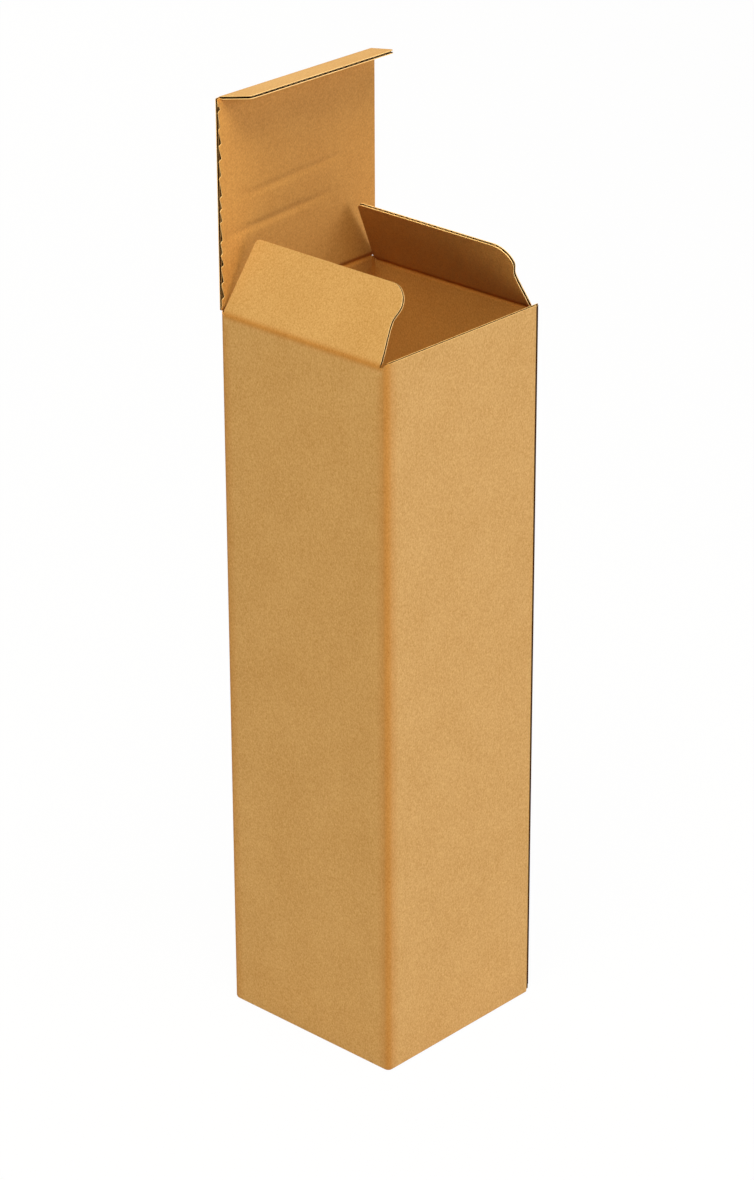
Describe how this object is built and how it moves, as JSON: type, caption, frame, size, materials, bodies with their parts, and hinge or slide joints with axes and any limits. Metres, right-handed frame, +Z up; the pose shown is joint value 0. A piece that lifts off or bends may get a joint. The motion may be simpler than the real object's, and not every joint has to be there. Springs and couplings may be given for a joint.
{
  "type": "bottle shipping box",
  "caption": "Tall square shipping box for one bottle, folded from plain kraft corrugated board, open at its tuck lid",
  "frame": {"origin": "middle of the base, on the surface it stands on", "axes": "+Z up; the glued front wall faces -Y; the lid hinges on the back wall at +Y; +X is the right wall"},
  "size_m": [0.102, 0.103, 0.4629],
  "materials": {
    "kraft_board": "uncoated kraft"
  },
  "bodies": {
    "box": {"box_body": "kraft_board"},
    "lid": {"lid": "kraft_board"},
    "tuck_flap": {"tuck_flap": "kraft_board"},
    "left_dust_flap": {"left_dust_flap": "kraft_board"},
    "right_dust_flap": {"right_dust_flap": "kraft_board"}
  },
  "joints": [
    {"name": "lid_hinge", "type": "hinge", "parent": "box", "child": "lid", "pos_m": [0, 0.0507, 0.3592], "axis": [1, 0, 0], "range_deg": [-90, 90]},
    {"name": "tuck_hinge", "type": "hinge", "parent": "lid", "child": "tuck_flap", "pos_m": [0, 0.0515, 0.4595], "axis": [1, 0, 0], "range_deg": [-18, 18]},
    {"name": "left_dust_hinge", "type": "hinge", "parent": "box", "child": "left_dust_flap", "pos_m": [-0.0502, 0, 0.3576], "axis": [0, 1, 0], "range_deg": [-117, 117]},
    {"name": "right_dust_hinge", "type": "hinge", "parent": "box", "child": "right_dust_flap", "pos_m": [0.0502, 0, 0.3576], "axis": [0, -1, 0], "range_deg": [-117, 117]}
  ],
  "couplings": [
    {"joint": "tuck_hinge", "follows": "lid_hinge", "ratio": 0.2},
    {"joint": "left_dust_hinge", "follows": "lid_hinge", "ratio": 1.3},
    {"joint": "right_dust_hinge", "follows": "lid_hinge", "ratio": 1.3}
  ]
}
